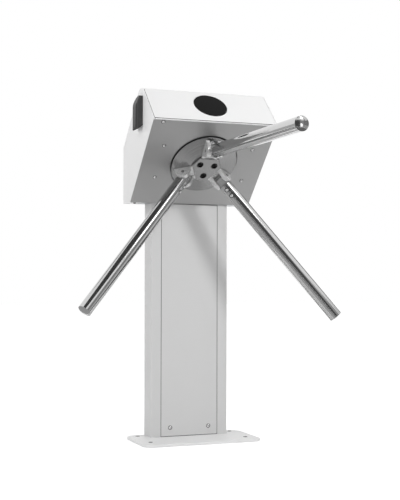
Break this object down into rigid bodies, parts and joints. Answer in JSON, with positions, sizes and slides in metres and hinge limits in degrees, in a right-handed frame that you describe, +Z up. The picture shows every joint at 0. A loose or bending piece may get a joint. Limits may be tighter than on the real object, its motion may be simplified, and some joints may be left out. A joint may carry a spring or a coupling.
{
  "type": "tripod turnstile",
  "caption": "Waist-high three-arm turnstile on a slim column, with a sloping hub plate, a round reader window and a side signal.",
  "frame": {"origin": "centre of the base plate's underside, on the floor", "axes": "+Z up, -Y towards the front where the top arm reaches across the passage, +X to the right seen from the front"},
  "size_m": [0.7816, 0.7607, 1.0065],
  "materials": {
    "white_paint": "smooth white powder coat",
    "grey_paint": "smooth light grey powder coat",
    "brushed_plate": "fine brushed stainless sheet",
    "brushed_hub": "satin machined stainless steel",
    "polished_tube": "polished stainless tube",
    "polished_cap": "polished",
    "window_black": "gloss black, opaque",
    "module_grey": "fine moulded texture",
    "lens_dark": "smoked, semi-gloss",
    "black_plastic": "moulded black",
    "rubber": "matt black",
    "zinc_steel": "zinc-plated sheet",
    "machined_steel": "turned and ground steel",
    "black_steel": "black oxide",
    "fastener_steel": "stainless fasteners",
    "board_green": "solder mask",
    "coil_brass": "wound coil and frame"
  },
  "bodies": {
    "frame": {"base_plate": "grey_paint", "column_shell": "grey_paint", "column_panel": "grey_paint", "panel_screws": "fastener_steel", "cable_grommet": "rubber", "head_floor": "zinc_steel", "floor_bolts": "fastener_steel", "hood": "white_paint", "hood_screws": "black_steel", "gusset_left": "zinc_steel", "gusset_right": "zinc_steel", "chassis_back": "zinc_steel", "hub_plate": "brushed_plate", "plate_screws": "fastener_steel", "reader_window": "window_black", "reader_cup": "black_plastic", "signal_left": "module_grey", "signal_right": "module_grey", "signal_lens_left": "lens_dark", "signal_lens_right": "lens_dark", "mechanism_plate": "zinc_steel", "bearing_housing": "machined_steel", "housing_bolts": "fastener_steel", "outer_races": "machined_steel", "bearing_balls": "machined_steel", "damper_body": "black_steel", "position_sensor": "black_plastic", "pawl_posts": "machined_steel", "pawl_springs": "black_steel", "solenoid_left": "coil_brass", "solenoid_right": "coil_brass", "control_board": "board_green", "power_supply": "zinc_steel"},
    "hub": {"inner_races": "machined_steel", "hub_shaft": "machined_steel", "hub_disc": "brushed_hub", "hub_core": "brushed_hub", "hub_bolts": "black_steel", "hinge_pins": "fastener_steel", "drive_gear": "machined_steel", "sensor_disc": "black_plastic", "locking_disc": "machined_steel", "shaft_nut": "machined_steel"},
    "damper_rotor": {"damper_pinion": "coil_brass"},
    "pawl_left": {"pawl_left": "machined_steel"},
    "pawl_right": {"pawl_right": "machined_steel"},
    "plunger_left": {"plunger_left": "machined_steel"},
    "plunger_right": {"plunger_right": "machined_steel"},
    "arm_top": {"arm_tube_top": "polished_tube", "arm_tongue_top": "brushed_hub", "arm_cap_top": "polished_cap", "arm_screws_top": "fastener_steel"},
    "arm_left": {"arm_tube_left": "polished_tube", "arm_tongue_left": "brushed_hub", "arm_cap_left": "polished_cap", "arm_screws_left": "fastener_steel"},
    "arm_right": {"arm_tube_right": "polished_tube", "arm_tongue_right": "brushed_hub", "arm_cap_right": "polished_cap", "arm_screws_right": "fastener_steel"}
  },
  "joints": [
    {"name": "hub_turn", "type": "hinge", "parent": "frame", "child": "hub", "pos_m": [0, -0.07915, 0.79966], "axis": [0, -0.712, -0.7022], "continuous": true},
    {"name": "damper_turn", "type": "hinge", "parent": "frame", "child": "damper_rotor", "pos_m": [0, -0.03421, 0.75409], "axis": [0, -0.712, -0.7022], "continuous": true},
    {"name": "pawl_left_turn", "type": "hinge", "parent": "frame", "child": "pawl_left", "pos_m": [-0.074, -0.03617, 0.87855], "axis": [0, -0.712, -0.7022], "range_deg": [0, 15], "stiffness_Nm_per_rad": 0.2, "springref_deg": -17.19},
    {"name": "plunger_left_slide", "type": "slide", "parent": "frame", "child": "plunger_left", "axis": [-1, 0, 0], "range_m": [0, 0.0079]},
    {"name": "pawl_right_turn", "type": "hinge", "parent": "frame", "child": "pawl_right", "pos_m": [0.074, -0.03617, 0.87855], "axis": [0, 0.712, 0.7022], "range_deg": [0, 15], "stiffness_Nm_per_rad": 0.2, "springref_deg": -17.19},
    {"name": "plunger_right_slide", "type": "slide", "parent": "frame", "child": "plunger_right", "axis": [1, 0, 0], "range_m": [0, 0.0079]},
    {"name": "arm_top_fold", "type": "hinge", "parent": "hub", "child": "arm_top", "pos_m": [0.00299, -0.1451, 0.82722], "axis": [0.999, 0.0319, -0.0323], "range_deg": [0, 90]},
    {"name": "arm_left_fold", "type": "hinge", "parent": "hub", "child": "arm_left", "pos_m": [-0.0586, -0.07747, 0.75865], "axis": [-0.4602, -0.6234, 0.6321], "range_deg": [0, 45]},
    {"name": "arm_right_fold", "type": "hinge", "parent": "hub", "child": "arm_right", "pos_m": [0.0556, -0.07383, 0.75496], "axis": [-0.5388, 0.5915, -0.5998], "range_deg": [0, 45]}
  ],
  "couplings": [
    {"joint": "damper_turn", "follows": "hub_turn", "ratio": -3},
    {"joint": "plunger_left_slide", "follows": "pawl_left_turn", "m_per_rad": 0.03},
    {"joint": "plunger_right_slide", "follows": "pawl_right_turn", "m_per_rad": 0.03}
  ]
}
